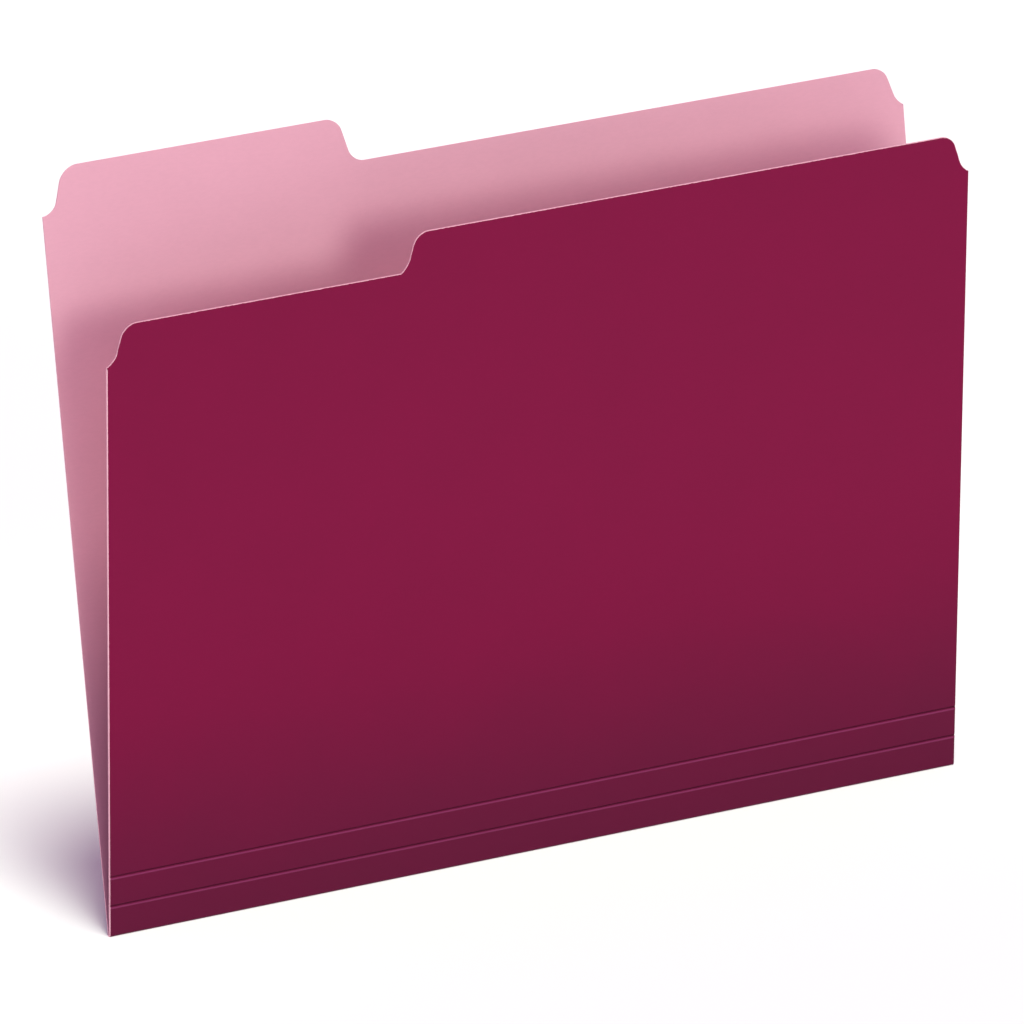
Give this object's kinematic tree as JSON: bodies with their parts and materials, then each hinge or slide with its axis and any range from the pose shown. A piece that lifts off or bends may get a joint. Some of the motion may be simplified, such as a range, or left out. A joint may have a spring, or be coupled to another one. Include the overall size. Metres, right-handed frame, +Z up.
{
  "type": "file folder",
  "caption": "Letter-size file folder in two-coloured stock with a one-third cut tab at the left, a notched front leaf and two scores beside the fold, opened into a narrow V.",
  "frame": {"origin": "middle of the fold's axis", "axes": "+X along the fold, towards the right edge as seen from the front leaf; +Z up the front leaf; +Y from the front leaf towards the back leaf"},
  "size_m": [0.2952, 0.0494, 0.237],
  "materials": {
    "burgundy_ply": "calendered, matt",
    "pink_ply": "calendered, matt"
  },
  "bodies": {
    "fold": {"fold_inner_ply": "pink_ply", "fold_outer_ply": "burgundy_ply"},
    "back_leaf": {"back_leaf_inner_ply": "pink_ply", "back_leaf_outer_ply": "burgundy_ply"},
    "base": {"base_strip_1_inner_ply": "pink_ply", "base_strip_1_outer_ply": "burgundy_ply", "base_strip_2_inner_ply": "pink_ply", "base_strip_2_outer_ply": "burgundy_ply"},
    "front_leaf": {"front_leaf_inner_ply": "pink_ply", "front_leaf_outer_ply": "burgundy_ply"}
  },
  "joints": [
    {"name": "opening", "type": "hinge", "parent": "fold", "child": "back_leaf", "pos_m": [0, 0, 0], "axis": [-1, 0, 0], "range_deg": [-11.5, 168.5]},
    {"name": "base_swing", "type": "hinge", "parent": "fold", "child": "base", "pos_m": [0, 0, 0], "axis": [1, 0, 0], "range_deg": [0, 90]},
    {"name": "score_2", "type": "hinge", "parent": "base", "child": "front_leaf", "pos_m": [0, -0.00015, 0.0198], "axis": [1, 0, 0], "range_deg": [-90, 0]}
  ],
  "couplings": [
    {"joint": "score_2", "follows": "base_swing", "ratio": -1}
  ]
}
